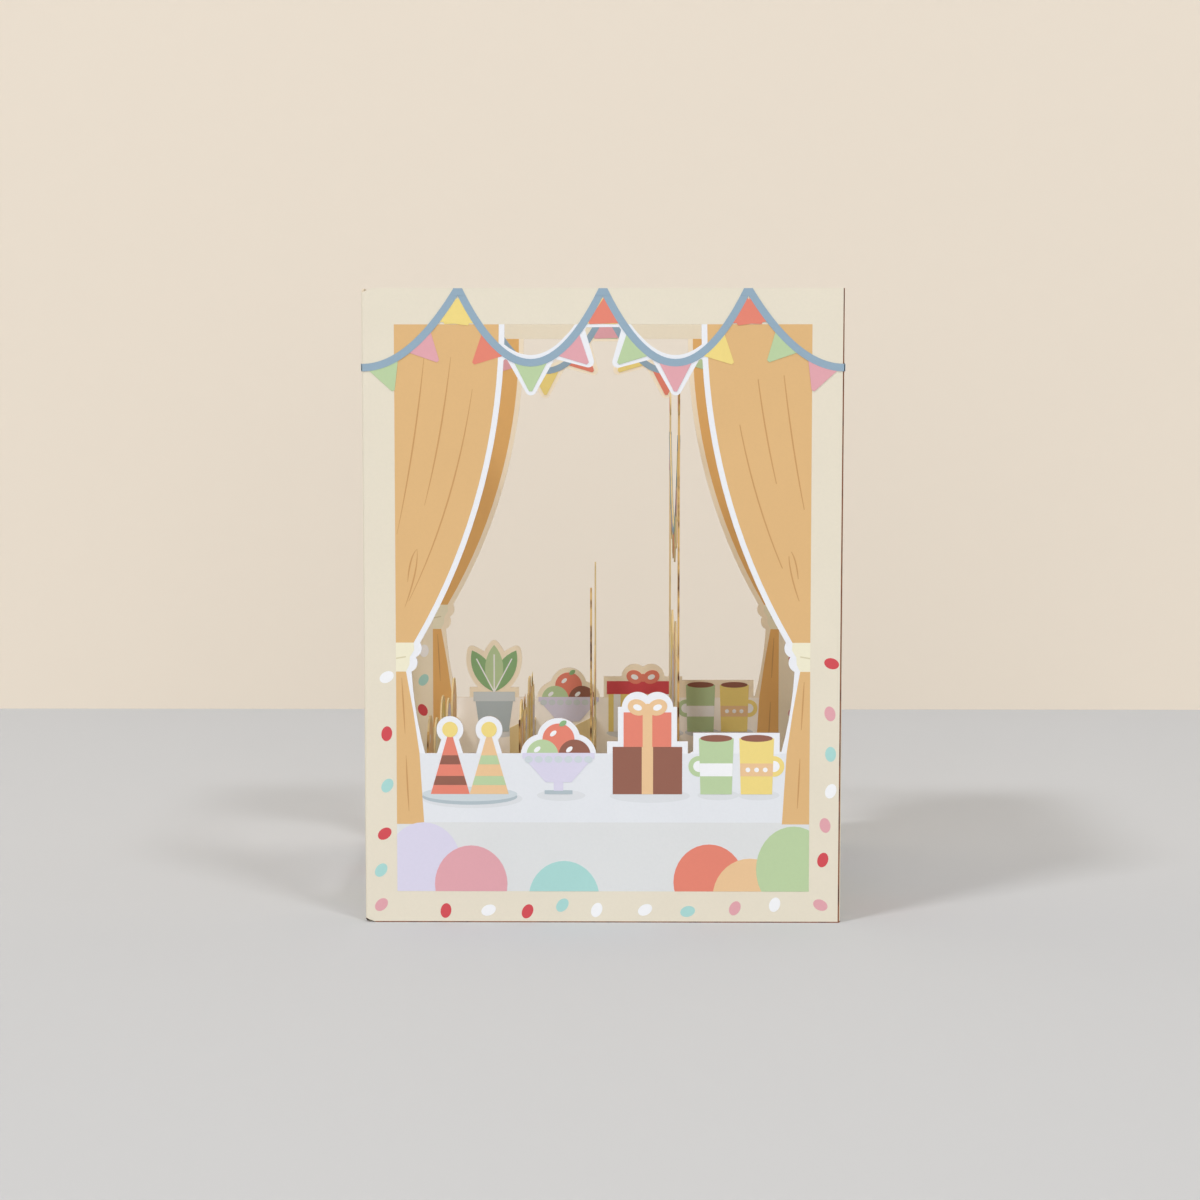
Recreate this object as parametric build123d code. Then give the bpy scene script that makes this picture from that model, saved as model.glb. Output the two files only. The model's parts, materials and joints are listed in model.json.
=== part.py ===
"""Pop-up window greeting card.

One die-cut strip of card is folded into a square tube and glued at a lap, so that it stands by
itself. Its front, left and back walls are windows, and its right wall is whole. Four picture panels
cross the tube from the front wall to the back wall, each held by a tab folded over at either end.

The frame is in millimetres with +Z up. The origin is the middle of the footprint, the front wall
faces -Y, and each wall is drawn as its own viewer sees it: u to the right, v up from its foot.
"""
import os
from math import hypot

from build123d import *

# The standing card
card_width = 110.0
card_depth = 110.0
card_height = 146.0
card_thickness = 0.4

# Folds of the sleeve, and the lap behind the front wall's cut edge
fold_radius = 0.5
lap_setback = 0.35
glue_tab_width = 9.0
glue_tab_taper = 5.0
glue_line = 0.05
nick_width = 3.6
nick_depth = 1.0

# Curtained window of a wall, measured in from the wall's upright edges
top_rail = 8.2
table_height = 39.5
sill_height = 24.7
curtain_reach_top = 32.6
curtain_reach_tie = 13.0
curtain_reach_knot = 11.0
curtain_reach_table = 14.0
tie_top = 65.1
tie_bottom = 58.4
tie_bump = 0.8
hem_bow = 0.5
cut_margin = 1.3

# Bunting that crosses the window
ribbon_width = 1.7
ribbon_margin = 0.5
swag_span = 33.0
swag_drop = 16.5
flag_width = 7.4
flag_drop = 6.5
flags_per_swag = 5

# Things that stand on the pictured table and rise above its edge
table_stand = 30.0
hat_width = 9.0
hat_height = 15.0
pompom_radius = 1.8
box_width = 16.0
box_height = 11.0
small_box_width = 11.0
small_box_height = 8.0
bow_radius = 2.3
fruit_radius = 3.7
fruit_lift = 9.0
mug_width = 8.0
mug_height = 13.0
mug_handle_radius = 2.4
pot_width = 11.0
pot_height = 11.0
leaf_width = 5.0
leaf_length = 13.0
leaf_lean = 28.0
drum_width = 19.0
drum_height = 14.0

# Picture panels inside the sleeve, each at a share of the width from the left wall
balloon_panel_share = 0.128
gift_panel_share = 0.323
flower_panel_share = 0.4745
garland_panel_share = 0.659
panel_lift = 1.0
panel_base = 34.0
panel_tab_width = 7.0
panel_tab_taper = 3.0
wall_clearance = 3.6
balloon_radius = 6.6
balloon_lift = 38.5
balloon_step = 3.0
balloons = 5
parcel_width = 18.0
parcel_height = 15.0
small_parcel_width = 12.0
small_parcel_height = 10.0
parcels = 4
spear_width = 4.4
spear_top = 76.0
bloom_width = 7.0
bloom_height = 8.5
bloom_lift = 54.0
stem_width = 1.2
post_width = 1.6
post_top = 120.0
post_ball_radius = 2.2
garland_tie = 112.0
garland_drop = 24.0
garland_flags = 8
crowd_inset = 4.25
crowd_gap = 0.15
crowd_lift = 50.0
crowd_step = 7.0
crowd_balloons = 5


def seats(count, length):
    """Places of count things spread evenly along a length about its middle."""
    return [length * (index + 0.5) / count - length / 2 for index in range(count)]


def cut_disc(u, v, radius):
    """Die line round a printed disc."""
    return Pos(u, v) * Circle(radius + cut_margin)


def cut_leaf(u, v, width, length, lean=0.0):
    """Die line round a printed pointed leaf that grows from height v and leans by an angle."""
    left_side = SagittaArc((0, 0), (0, length), width / 2)
    right_side = SagittaArc((0, length), (0, 0), width / 2)
    leaf = offset(make_face([left_side, right_side]), amount=cut_margin, kind=Kind.ARC)
    return Pos(u, v) * Rot(0, 0, -lean) * leaf


def cut_block(u, v, width, height):
    """Die line round a printed upright block that stands at height v."""
    return Pos(u, v + height / 2) * Rectangle(width + 2 * cut_margin, height + 2 * cut_margin)


def cut_outline(*points):
    """Die line round a printed figure with straight sides."""
    return offset(make_face(Polyline(*points, close=True)), amount=cut_margin, kind=Kind.ARC)


def cut_bow(u, v):
    """Die line round the two loops of a bow tied at height v."""
    return [cut_disc(u + side * bow_radius, v + bow_radius / 2, bow_radius) for side in (-1, 1)]


def party_hats(u):
    """Two paper hats with pompoms, one behind the other."""
    shapes = []
    for side in (-1, 1):
        middle = u + side * hat_width / 2
        top = table_stand + hat_height
        foot = [(middle - hat_width / 2, table_stand), (middle + hat_width / 2, table_stand)]
        shapes.append(cut_outline(*foot, (middle, top)))
        shapes.append(cut_disc(middle, top, pompom_radius))
    return shapes


def gift_stack(u):
    """A small wrapped box on a large one, tied with a bow."""
    shoulder = table_stand + box_height
    crown = shoulder + small_box_height
    large = cut_block(u, table_stand, box_width, box_height)
    small = cut_block(u, shoulder, small_box_width, small_box_height)
    return [large, small, *cut_bow(u, crown)]


def fruit_heap(u):
    """Three round fruits heaped in a bowl, the middle one on top."""
    low = table_stand + fruit_lift
    row = [cut_disc(u + side * fruit_radius, low, fruit_radius) for side in (-1, 1)]
    return [*row, cut_disc(u, low + fruit_radius, fruit_radius)]


def mug_pair(u):
    """Two straight mugs with their handles turned outwards."""
    shapes = []
    for side in (-1, 1):
        middle = u + side * (mug_width / 2 + cut_margin / 2)
        handle = middle + side * mug_width / 2
        shapes.append(cut_block(middle, table_stand, mug_width, mug_height))
        shapes.append(cut_disc(handle, table_stand + mug_height / 2, mug_handle_radius))
    return shapes


def leafy_pot(u):
    """A flower pot with three broad leaves."""
    rim = table_stand + pot_height
    shapes = [cut_block(u, table_stand, pot_width, pot_height)]
    for lean in (-leaf_lean, 0.0, leaf_lean):
        shapes.append(cut_leaf(u, rim, leaf_width, leaf_length, lean))
    return shapes


def ribbon_drum(u):
    """A round box with a lid, tied with a bow."""
    return [cut_block(u, table_stand, drum_width, drum_height), *cut_bow(u, table_stand + drum_height)]


def swag_edge(left, right, height, drop, shift):
    """Parabola of a hanging ribbon, moved towards the inside of its hang by shift."""
    half = (right - left) / 2
    slope = hypot(half, 2 * drop)
    across = shift * 2 * drop / slope
    end_height = height + shift * half / slope
    low = 2 * (height - drop + shift) - end_height
    middle = (left + right) / 2
    return Bezier((left + across, end_height), (middle, low), (right - across, end_height))


def cut_flag(knot, along):
    """Die line round a flag square to the ribbon, its upper corners inside the ribbon, its tip rounded."""
    side = along * (flag_width / 2)
    tip = knot + Vector(along.Y, -along.X) * flag_drop
    printed = make_face(Polyline(knot - side, knot + side, tip, close=True))
    flag = offset(printed, amount=cut_margin, kind=Kind.INTERSECTION)
    return fillet(flag.vertices().sort_by_distance(tip)[0], cut_margin)


def cut_swag(left, right, height, drop, flags):
    """Die lines of one hang of bunting: its ribbon, and its flags square to the ribbon."""
    half_band = ribbon_width / 2 + ribbon_margin
    upper = swag_edge(left, right, height, drop, half_band)
    lower = swag_edge(left, right, height, drop, -half_band)
    band = make_face([upper, Line(upper @ 1, lower @ 1), lower, Line(lower @ 0, upper @ 0)])
    rope = swag_edge(left, right, height, drop, 0.0)
    shapes = [band]
    for place in seats(flags, 1.0):
        shapes.append(cut_flag(rope @ (place + 0.5), rope % (place + 0.5)))
    return shapes


def curtain_opening(wall_width, foot):
    """Opening between the tied-back curtains, from the top rail down to the height of its foot."""
    half = wall_width / 2
    head = card_height - top_rail
    rail = Line((0, head), (half - curtain_reach_top, head))
    drape = TangentArc(rail @ 1, (half - curtain_reach_tie, tie_top), tangent=(0, -1))
    knot = (half - curtain_reach_knot, tie_bottom)
    waist = ((drape @ 1).X / 2 + knot[0] / 2, tie_top / 2 + tie_bottom / 2)
    upper_bump = SagittaArc(drape @ 1, waist, -tie_bump)
    lower_bump = SagittaArc(waist, knot, -tie_bump)
    hem = SagittaArc(knot, (half - curtain_reach_table, foot), hem_bow)
    sill = Line(hem @ 1, (0, foot))
    right_side = Curve() + [rail, drape, upper_bump, lower_bump, hem, sill]
    return make_face(right_side + mirror(right_side, about=Plane.YZ))


def wall_window(wall_width, foot, figures):
    """Window of one wall: the opening less the bunting and the figures along its foot."""
    opening = curtain_opening(wall_width, foot)
    kept = []
    for left in (-swag_span, 0.0):
        kept += cut_swag(left, left + swag_span, card_height, swag_drop, flags_per_swag)
    table_length = wall_width - 2 * curtain_reach_table
    for u, figure in zip(seats(len(figures), table_length), figures):
        kept += figure(u)
    return opening - kept


def folded_strip(points, height):
    """Card of even thickness standing on a folded plan line."""
    line = FilletPolyline(*points, radius=fold_radius)
    return extrude(trace(line, line_width=card_thickness), height)


def lap_tab_trim(outer, inner):
    """Wedges that slope the glue tab's top and bottom ends away from the fold."""
    start = card_width / 2 - fold_radius - card_thickness
    end = card_width / 2 - glue_tab_width
    wedge = make_face(Polyline((start, 0), (end, 0), (end, glue_tab_taper), close=True))
    lower = Plane.XZ * wedge
    foot = extrude(Pos(0, outer, 0) * lower, inner - outer, dir=(0, 1, 0))
    return foot + mirror(foot, about=Plane.XY.offset(card_height / 2))


def fold_nicks():
    """Small notches that relieve the ends of the three folds that show; the lapped one is square."""
    notch = make_face(Polyline((-nick_width / 2, 0), (nick_width / 2, 0), (0, nick_depth), close=True))
    x = card_width / 2
    y = card_depth / 2
    nicks = Part()
    for corner_x, corner_y in ((-x, -y), (-x, y), (x, y)):
        outwards = Vector(corner_x, corner_y)
        across = Plane(outwards, x_dir=(-corner_y, corner_x, 0), z_dir=outwards)
        foot = extrude(across * notch, amount=nick_width, both=True)
        nicks += foot + mirror(foot, about=Plane.XY.offset(card_height / 2))
    return nicks


def make_sleeve():
    """The folded outer strip: front, left, back and uncut right walls and the lapped glue tab."""
    half = card_thickness / 2
    left = -card_width / 2 + half
    right = card_width / 2 - half
    front = -card_depth / 2 + half
    back = card_depth / 2 - half
    lap = front + card_thickness + glue_line
    cut_edge = card_width / 2 - lap_setback
    tab_end = card_width / 2 - glue_tab_width
    plan = [(cut_edge, front), (left, front), (left, back), (right, back), (right, lap), (tab_end, lap)]
    sleeve = folded_strip(plan, card_height)
    sleeve -= lap_tab_trim(lap - half - glue_line / 2, lap + half + glue_line)
    sleeve -= fold_nicks()

    front_wall = Plane((0, -card_depth / 2, 0), x_dir=(1, 0, 0), z_dir=(0, -1, 0))
    left_wall = Plane((-card_width / 2, 0, 0), x_dir=(0, -1, 0), z_dir=(-1, 0, 0))
    back_wall = Plane((0, card_depth / 2, 0), x_dir=(-1, 0, 0), z_dir=(0, 1, 0))
    windows = [
        (front_wall, card_width, table_height, [party_hats, fruit_heap, gift_stack, mug_pair]),
        (left_wall, card_depth, sill_height, []),
        (back_wall, card_width, table_height, [mug_pair, ribbon_drum, fruit_heap, leafy_pot]),
    ]
    for wall, wall_width, foot, figures in windows:
        window = wall_window(wall_width, foot, figures)
        sleeve -= extrude(wall * window, amount=2 * card_thickness, both=True)
    return sleeve


def picture_length():
    """Length of a panel that its pictures may take, clear of the front and back windows."""
    return card_depth - 2 * card_thickness - 2 * wall_clearance


def make_panel(share, figures, top):
    """A panel across the sleeve at a share of its width: figures on a plain base, a tab at each end."""
    x = (share - 0.5) * card_width
    half = card_thickness / 2
    inner = card_depth / 2 - card_thickness
    tab_line = inner - half
    plan = [(x + panel_tab_width, -tab_line), (x, -tab_line), (x, tab_line), (x - panel_tab_width, tab_line)]
    folded = folded_strip(plan, top)

    base_height = panel_base - panel_lift
    base = Pos(0, panel_lift + base_height / 2) * Rectangle(2 * inner, base_height)
    silhouette = base + figures
    reach = 2 * panel_tab_width
    folded &= Pos(x, 0, 0) * extrude(Plane.YZ * silhouette, amount=reach, both=True)

    web = fold_radius + card_thickness
    upper = [(web, panel_base), (web, top), (-web, top), (-web, panel_base)]
    slope = panel_lift + panel_tab_taper
    shoulder = panel_base - panel_tab_taper
    left_side = [(-panel_tab_width, shoulder), (-panel_tab_width, slope), (-web, panel_lift)]
    right_side = [(web, panel_lift), (panel_tab_width, slope), (panel_tab_width, shoulder)]
    end_view = make_face(Polyline(*right_side, *upper, *left_side, close=True))
    return folded & Pos(x, 0, 0) * extrude(Plane.XZ * end_view, amount=card_depth, both=True)


def make_balloon_panel():
    """Low panel with a row of round balloons, alternate ones higher."""
    shapes = []
    for index, y in enumerate(seats(balloons, picture_length())):
        lift = balloon_lift - balloon_step * (index % 2)
        shapes.append(cut_disc(y, lift, balloon_radius))
    return make_panel(balloon_panel_share, shapes, balloon_lift + balloon_radius + cut_margin)


def make_gift_panel():
    """Low panel with a row of wrapped boxes, alternate ones wide and narrow."""
    shapes = []
    for index, y in enumerate(seats(parcels, picture_length())):
        wide = index % 2 == 0
        width = parcel_width if wide else small_parcel_width
        height = parcel_height if wide else small_parcel_height
        shapes.append(cut_block(y, table_stand, width, height))
        shapes += cut_bow(y, table_stand + height)
    top = table_stand + parcel_height + 1.5 * bow_radius + cut_margin
    return make_panel(gift_panel_share, shapes, top)


def make_flower_panel():
    """Panel with two clumps of flowers: a tall leaf at each outer end, blooms beside it."""
    end = picture_length() / 2
    shapes = []
    for side in (-1, 1):
        outer = side * (end - cut_margin)
        foot = [(outer, panel_base), (outer - side * spear_width, panel_base)]
        tip = (outer - side * spear_width / 4, spear_top)
        shapes.append(cut_outline(*foot[::side], tip))
        for index in (1, 2):
            bloom = outer - side * index * (bloom_width + 2 * cut_margin)
            lift = bloom_lift - (index + 1) * bloom_height / 2
            shapes.append(cut_block(bloom, panel_base, stem_width, lift - panel_base))
            shapes.append(cut_leaf(bloom, lift, bloom_width, bloom_height))
    return make_panel(flower_panel_share, shapes, spear_top + cut_margin)


def make_garland_panel():
    """Tallest panel: flags strung between two posts, over a crowd of balloons on upright strings."""
    post_place = picture_length() / 2 - post_ball_radius - cut_margin
    shapes = cut_swag(-post_place, post_place, garland_tie, garland_drop, garland_flags)
    for y in (-post_place, post_place):
        shapes.append(cut_block(y, panel_base, post_width, post_top - panel_base))
        shapes.append(cut_disc(y, post_top, post_ball_radius))
    crowd_length = 2 * (post_place - crowd_inset)
    crowd_radius = crowd_length / crowd_balloons / 2 - crowd_gap
    for index, y in enumerate(seats(crowd_balloons, crowd_length)):
        lift = crowd_lift + crowd_step * (index % 2)
        shapes.append(cut_block(y, panel_base, stem_width, lift - panel_base))
        shapes.append(cut_disc(y, lift, crowd_radius))
    top = post_top + post_ball_radius + cut_margin
    return make_panel(garland_panel_share, shapes, top)


pieces = {
    "sleeve": make_sleeve(),
    "balloon_panel": make_balloon_panel(),
    "gift_panel": make_gift_panel(),
    "flower_panel": make_flower_panel(),
    "garland_panel": make_garland_panel(),
}
os.makedirs("parts", exist_ok=True)
for name, piece in pieces.items():
    export_step(piece, f"parts/{name}.step")
    print(name, "solids", len(piece.solids()), "volume", round(piece.volume, 2))
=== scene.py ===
# %% [markdown]
# # A pop-up window card, printed, cut and lit
#
# The card is a strip of printed board folded into a square tube, with four picture panels glued
# across it. The solids already hold every fold and die line, so this lesson adds what a press adds:
# ink, and what the laser leaves: browned edges. Everything is drawn in millimetres on flat sheets
# and then carried to the walls, so the same drawing serves all four walls, inside and outside.

# %% Frame, units and the card's own sizes
import json
from math import asin, cos, hypot, pi, radians, sin, sqrt

import bpy
from mathutils import Matrix, Vector

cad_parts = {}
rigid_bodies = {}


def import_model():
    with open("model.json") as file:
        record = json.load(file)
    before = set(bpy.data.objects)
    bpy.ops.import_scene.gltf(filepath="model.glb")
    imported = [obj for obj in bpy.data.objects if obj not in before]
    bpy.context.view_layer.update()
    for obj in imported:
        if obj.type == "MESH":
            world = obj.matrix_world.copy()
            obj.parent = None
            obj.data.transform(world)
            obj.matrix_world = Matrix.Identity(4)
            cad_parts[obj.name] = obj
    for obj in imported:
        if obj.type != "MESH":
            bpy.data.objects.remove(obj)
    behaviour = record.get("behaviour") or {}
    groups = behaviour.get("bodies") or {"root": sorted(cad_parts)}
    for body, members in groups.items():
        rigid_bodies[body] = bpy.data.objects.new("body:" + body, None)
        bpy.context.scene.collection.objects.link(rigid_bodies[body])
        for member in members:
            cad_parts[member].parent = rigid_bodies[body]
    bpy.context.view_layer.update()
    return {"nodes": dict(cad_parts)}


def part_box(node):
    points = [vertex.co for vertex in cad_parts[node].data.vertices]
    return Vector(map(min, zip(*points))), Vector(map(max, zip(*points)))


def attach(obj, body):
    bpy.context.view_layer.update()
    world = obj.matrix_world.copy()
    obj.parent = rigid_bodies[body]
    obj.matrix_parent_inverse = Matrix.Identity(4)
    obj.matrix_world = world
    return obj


for leftover in list(bpy.data.objects):
    bpy.data.objects.remove(leftover)
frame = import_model()
mm = 0.001

sleeve_low, sleeve_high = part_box("sleeve")
card_width = (sleeve_high.x - sleeve_low.x) / mm
card_depth = (sleeve_high.y - sleeve_low.y) / mm
card_height = (sleeve_high.z - sleeve_low.z) / mm
card_thickness = 0.4
print("card", round(card_width, 2), "x", round(card_depth, 2), "x", round(card_height, 2), "mm")

# %% [markdown]
# ## Ink colours
#
# The print is flat pastel ink. Each colour is written as it should look on screen and turned into
# the linear light that Blender mixes. All ink shares one material that reads its colour from a
# point attribute named `ink`, so a drawing of many colours needs only one finish.

# %% Palette
def linear(red, green, blue):
    """Scene-linear colour of an sRGB colour given in 0 to 255."""
    shares = [value / 255 for value in (red, green, blue)]
    bent = [s / 12.92 if s <= 0.04045 else ((s + 0.055) / 1.055) ** 2.4 for s in shares]
    return (*bent, 1.0)


cream_card = linear(227, 219, 201)
white_card = linear(233, 235, 240)
# The inside colours are painted light: lighter, warmer copies of the card that stand in for the warm light
# inside the box.
cream_inside_painted_light = linear(236, 227, 206)
white_inside_painted_light = linear(246, 233, 209)
panel_cream = linear(228, 207, 158)
inks = {
    "curtain": linear(220, 180, 126),
    # Painted light: a warmer, deeper curtain for the inside of the box, standing in for warm bounce light
    # in its shade.
    "curtain_inside_painted_light": linear(226, 178, 112),
    "fold": linear(199, 153, 100),
    "tie": linear(236, 231, 206),
    "tie_line": linear(214, 205, 172),
    "cloth": linear(225, 228, 233),
    # Painted light: a lighter, warmer cloth for the inside of the box.
    "cloth_inside_painted_light": linear(250, 244, 236),
    "cloth_front": linear(219, 221, 222),
    "ribbon": linear(146, 170, 188),
    "yellow": linear(236, 214, 132),
    "pink": linear(222, 164, 172),
    "green": linear(184, 206, 162),
    "coral": linear(226, 132, 113),
    "teal": linear(168, 213, 209),
    "lilac": linear(215, 211, 231),
    "peach": linear(231, 194, 150),
    "red": linear(208, 78, 86),
    "brown": linear(146, 97, 82),
    "white": linear(240, 241, 244),
    "plate": linear(203, 212, 217),
    "plate_side": linear(176, 189, 196),
    "plate_shadow": linear(217, 220, 224),
    "leaf": linear(140, 178, 128),
    "panel_band": linear(232, 214, 170),
}
print(len(inks), "inks")

# %% [markdown]
# ## Card and ink surface
#
# Uncoated board is matt, with a faint cloudiness and a fibre grain that also shows through the ink.
# That effect is needed by the bare card and by the ink, so it is one shader node group: it takes a
# colour and gives back the clouded colour, a roughness and a height for the bump. Noise on Object
# coordinates keeps the grain at one real size on every piece.

# %% Node helpers and the card grain group
def add(tree, kind, inputs=None, **settings):
    """Add a node, set its options, and feed its inputs with links or constants."""
    node = tree.nodes.new(kind)
    for name, value in settings.items():
        setattr(node, name, value)
    for key, value in (inputs or {}).items():
        if isinstance(value, bpy.types.NodeSocket):
            tree.links.new(value, node.inputs[key])
        else:
            node.inputs[key].default_value = value
    return node


def maths(tree, operation, first, second=0.0):
    """Output of a Math node on two values or sockets."""
    return add(tree, "ShaderNodeMath", {0: first, 1: second}, operation=operation).outputs[0]


def above(tree, value, limit):
    """Mask that is one where a value is over a limit."""
    return maths(tree, "GREATER_THAN", value, limit)


def below(tree, value, limit):
    """Mask that is one where a value is under a limit."""
    return maths(tree, "LESS_THAN", value, limit)


def blend(tree, share, first, second):
    """Output of a colour Mix node, from the first colour at 0 to the second at 1."""
    return add(tree, "ShaderNodeMix", {0: share, 6: first, 7: second}, data_type="RGBA").outputs[2]


def noise(tree, scale, detail):
    """Noise from 0 to 1 on Object coordinates."""
    place = add(tree, "ShaderNodeTexCoord").outputs["Object"]
    texture = add(tree, "ShaderNodeTexNoise", {"Vector": place, "Scale": scale, "Detail": detail})
    return texture.outputs["Fac"]


def shader_group(name, inputs, outputs):
    """Start a shader group; gives the tree, its input sockets and its output node's sockets."""
    tree = bpy.data.node_groups.new(name, "ShaderNodeTree")
    for label, kind in inputs.items():
        tree.interface.new_socket(label, in_out="INPUT", socket_type="NodeSocket" + kind)
    for label, kind in outputs.items():
        tree.interface.new_socket(label, in_out="OUTPUT", socket_type="NodeSocket" + kind)
    return tree, tree.nodes.new("NodeGroupInput").outputs, tree.nodes.new("NodeGroupOutput").inputs


fibre_scale = 1400.0
cloud_scale = 60.0
least_roughness = 0.6
roughness_swing = 0.2


def card_grain_group():
    """Cloudy tone, matt sheen and fibre grain of uncoated board."""
    tree, given, result = shader_group(
        "card grain",
        {"Colour": "Color", "Cloud": "Float"},
        {"Colour": "Color", "Roughness": "Float", "Height": "Float"},
    )
    fibre = noise(tree, fibre_scale, 4.0)
    swing = maths(tree, "SUBTRACT", maths(tree, "ADD", fibre, noise(tree, cloud_scale, 3.0)), 1.0)
    tone = maths(tree, "ADD", maths(tree, "MULTIPLY", swing, given["Cloud"]), 1.0)
    clouded = add(tree, "ShaderNodeVectorMath", {0: given["Colour"], "Scale": tone}, operation="SCALE")
    sheen = maths(tree, "ADD", maths(tree, "MULTIPLY", fibre, roughness_swing), least_roughness)
    tree.links.new(clouded.outputs[0], result["Colour"])
    tree.links.new(sheen, result["Roughness"])
    tree.links.new(fibre, result["Height"])
    return tree


card_grain = card_grain_group()
print("group", card_grain.name, "made of", len(card_grain.nodes), "nodes")

# %% [markdown]
# ## Scorched edges
#
# Fine card is cut by laser, which leaves each cut edge gold to dark brown, never even. The mask of
# the cut faces differs from piece to piece, but the burnt colour is one group: it mixes gold and
# char by a patchy noise, then lays that over the card where the mask is one.

# %% Scorch group
patch_scale = 240.0
gold_up_to = 0.47
char_from = 0.66


def scorch_group():
    """Uneven gold and dark browning of a laser-cut edge."""
    tree, given, result = shader_group(
        "scorched edge",
        {"Colour": "Color", "Gold": "Color", "Char": "Color", "Cut": "Float"},
        {"Colour": "Color"},
    )
    limits = {0: noise(tree, patch_scale, 3.0), 1: gold_up_to, 2: char_from, 3: 0.0, 4: 1.0}
    uneven = add(tree, "ShaderNodeMapRange", limits).outputs[0]
    burnt = blend(tree, uneven, given["Gold"], given["Char"])
    tree.links.new(blend(tree, given["Cut"], given["Colour"], burnt), result["Colour"])
    return tree


scorched_edge = scorch_group()


def scorched(tree, colour, cut, gold, char):
    """Colour socket of card that is browned from gold to char where it is cut."""
    values = {"Colour": colour, "Cut": cut, "Gold": gold, "Char": char}
    return add(tree, "ShaderNodeGroup", values, node_tree=scorched_edge).outputs["Colour"]


print("group", scorched_edge.name, "made of", len(scorched_edge.nodes), "nodes")

# %% [markdown]
# ## Three finishes
#
# The ink material reads the `ink` attribute. The sleeve is cream outside the printed window and bare
# white inside it, which gives the white margin round every die-cut shape; on the inner faces both
# are painted warmer and paler, painted light that stands in for the warm light inside the box. A cut
# face is known by its normal: on a wall that faces front or back it is any face that doesn't, and
# the same for the sides.

# %% Materials
card_specular = 0.25
grain_strength = 0.12
grain_height = 0.0001
cloud_share = 0.05


def finish(material, colour, cloud):
    """Finish a material as matt card: grain over a colour socket, on a Principled shader."""
    tree = material.node_tree
    grain = add(tree, "ShaderNodeGroup", {"Colour": colour, "Cloud": cloud}, node_tree=card_grain).outputs
    relief = {"Height": grain["Height"], "Strength": grain_strength, "Distance": grain_height}
    bump = add(tree, "ShaderNodeBump", relief)
    shader = tree.nodes["Principled BSDF"].inputs
    shader["Specular IOR Level"].default_value = card_specular
    tree.links.new(grain["Colour"], shader["Base Color"])
    tree.links.new(grain["Roughness"], shader["Roughness"])
    tree.links.new(bump.outputs["Normal"], shader["Normal"])


def new_material(name):
    """A material with nodes, ready for a finish."""
    material = bpy.data.materials.new(name)
    material.use_nodes = True
    return material


def place_and_normal(tree):
    """Sockets of a point's x, y and z, and of the sizes of its normal's x, y and z."""
    source = add(tree, "ShaderNodeTexCoord")
    place = add(tree, "ShaderNodeSeparateXYZ", {0: source.outputs["Object"]}).outputs
    size = add(tree, "ShaderNodeVectorMath", {0: source.outputs["Normal"]}, operation="ABSOLUTE")
    normal = add(tree, "ShaderNodeSeparateXYZ", {0: size.outputs[0]}).outputs
    return place, normal


def merged(tree, operation, masks):
    """One mask from several, taken in turn."""
    result = masks[0]
    for mask in masks[1:]:
        result = maths(tree, operation, result, mask)
    return result


def all_true(tree, *masks):
    """Mask that is one where all the masks are."""
    return merged(tree, "MULTIPLY", masks)


def any_true(tree, *masks):
    """Mask that is one where any of the masks is."""
    return merged(tree, "MAXIMUM", masks)


ink_print = new_material("ink on card")
ink_colour = add(ink_print.node_tree, "ShaderNodeAttribute", attribute_name="ink")
finish(ink_print, ink_colour.outputs["Color"], cloud_share)
print("material", ink_print.name)

# %% Sleeve material
frame_border = 7.4
frame_foot = 7.3
top_rail = 8.2
wall_band = 1.1
end_band = 2.0
turned_away = 0.5
upper_fade = 0.8
edge_gold = linear(176, 134, 84)
edge_char = linear(104, 62, 40)
# The seam colours are scorch and painted shade: darker than the cut edges, for the shadow in the gap where
# the front sheet laps the fold and the contact shadow along the foot.
seam_gold_and_shade = linear(138, 86, 58)
seam_char_and_shade = linear(94, 54, 38)
shaded_seam_width = 0.38
shaded_seam_depth = 0.9
fold_strip = 0.3
foot_scorch_and_shade_height = 0.24


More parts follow.
